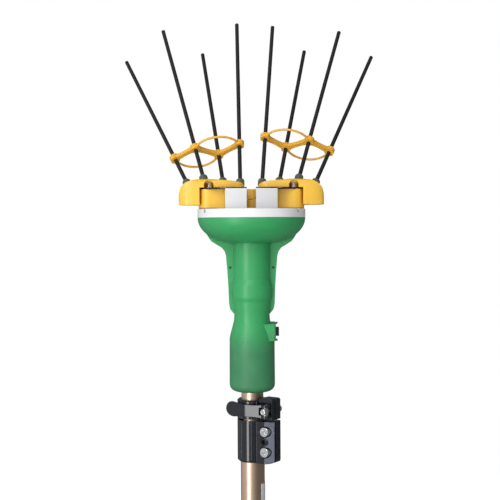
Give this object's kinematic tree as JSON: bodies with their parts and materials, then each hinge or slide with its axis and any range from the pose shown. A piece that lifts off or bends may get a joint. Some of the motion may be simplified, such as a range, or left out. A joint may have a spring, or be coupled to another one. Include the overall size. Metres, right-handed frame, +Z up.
{
  "type": "olive harvester head",
  "caption": "Electric olive harvester head: two swinging hands of long tines on a bell housing with a power inlet, on a telescopic pole end with a lever clamp.",
  "frame": {"origin": "centre of the outer tube's open lower end", "axes": "+Z up the pole to the tines, -Y towards the front, +X to the right as seen from the front"},
  "size_m": [0.4145, 0.3142, 0.817],
  "materials": {
    "bronze": "bronze anodised, satin",
    "pale_strip": "satin",
    "black_metal": "semi-gloss black coat",
    "screw_steel": "bright zinc",
    "black_steel": "black oxide",
    "bright_steel": "ground",
    "dark_plastic": "matt",
    "green_plastic": "satin, fine grain",
    "contact_brass": "bright",
    "latch_metal": "satin",
    "red_cover": "satin",
    "white_plastic": "satin",
    "gasket_rubber": "matt",
    "motor_can": "satin",
    "grey_alloy": "machined",
    "bush_brass": "sintered, satin",
    "roller_plastic": "matt",
    "amber_plastic": "satin",
    "grommet_rubber": "matt",
    "tine_rod": "matt"
  },
  "bodies": {
    "pole": {"outer_tube": "bronze", "pole_strip": "pale_strip", "clamp_body": "black_metal", "clamp_screws": "screw_steel", "clamp_set_screw": "black_steel", "draw_bolt": "screw_steel", "lever_barrel": "bright_steel"},
    "lever": {"clamp_lever": "black_metal"},
    "head": {"inner_tube": "bronze", "guide_bush": "dark_plastic", "front_shell": "green_plastic", "rear_shell": "green_plastic", "housing_screws": "black_steel", "inlet_housing": "green_plastic", "inlet_insert": "dark_plastic", "inlet_contacts": "contact_brass", "inlet_latches": "latch_metal", "motor_leads": "red_cover", "top_plate": "white_plastic", "rim_gasket": "gasket_rubber", "plate_screws": "screw_steel", "motor": "motor_can", "motor_screws": "screw_steel", "gear_plate": "grey_alloy", "standoffs": "bright_steel", "crank_bearing": "bright_steel", "guide_rods": "bright_steel", "guide_blocks": "grey_alloy", "pivot_pins": "bright_steel", "pivot_nuts": "screw_steel", "thrust_washers": "black_steel", "pivot_straps": "black_metal", "pivot_screws": "screw_steel", "strap_screws": "screw_steel"},
    "carriage": {"crosshead": "grey_alloy", "crosshead_bushes": "bush_brass", "drive_pin": "bright_steel", "slot_cover": "dark_plastic"},
    "crank": {"crank_gear": "bright_steel", "crank_shaft": "bright_steel", "crank_pin": "bright_steel", "crank_roller": "roller_plastic"},
    "pinion": {"motor_pinion": "bright_steel", "motor_shaft": "bright_steel"},
    "left_rake": {"left_hand": "amber_plastic", "left_bushes": "bush_brass", "left_grommets": "grommet_rubber", "left_tine_1": "tine_rod", "left_tine_2": "tine_rod", "left_tine_3": "tine_rod", "left_tine_4": "tine_rod", "left_link": "amber_plastic"},
    "right_rake": {"right_hand": "amber_plastic", "right_bushes": "bush_brass", "right_grommets": "grommet_rubber", "right_tine_1": "tine_rod", "right_tine_2": "tine_rod", "right_tine_3": "tine_rod", "right_tine_4": "tine_rod", "right_link": "amber_plastic"}
  },
  "joints": [
    {"name": "head_slide", "type": "slide", "parent": "pole", "child": "head", "axis": [0, 0, 1], "range_m": [-0.0075, 0.1]},
    {"name": "lever_swing", "type": "hinge", "parent": "pole", "child": "lever", "pos_m": [0.01862, -0.03392, 0.2225], "axis": [0, 0, 1], "range_deg": [0, 120]},
    {"name": "left_rake_swing", "type": "hinge", "parent": "head", "child": "left_rake", "pos_m": [-0.0615, 0, 0.5273], "axis": [0, 0, 1], "range_deg": [-7.4, 7.4]},
    {"name": "right_rake_swing", "type": "hinge", "parent": "head", "child": "right_rake", "pos_m": [0.0615, 0, 0.5273], "axis": [0, 0, 1], "range_deg": [-7.4, 7.4]},
    {"name": "carriage_slide", "type": "slide", "parent": "head", "child": "carriage", "axis": [0, 1, 0], "range_m": [-0.00796, 0.00796]},
    {"name": "crank_turn", "type": "hinge", "parent": "head", "child": "crank", "pos_m": [0, 0.0272, 0.48], "axis": [0, 0, 1], "range_deg": [-68.5, 68.5]},
    {"name": "pinion_turn", "type": "hinge", "parent": "head", "child": "pinion", "pos_m": [0, 0, 0.48], "axis": [0, 0, 1], "range_deg": [-205.5, 205.5]}
  ],
  "couplings": [
    {"joint": "right_rake_swing", "follows": "left_rake_swing", "ratio": -1},
    {"joint": "carriage_slide", "follows": "left_rake_swing", "m_per_rad": 0.0615},
    {"joint": "crank_turn", "follows": "left_rake_swing", "ratio": 9.225},
    {"joint": "pinion_turn", "follows": "left_rake_swing", "ratio": -27.675}
  ]
}
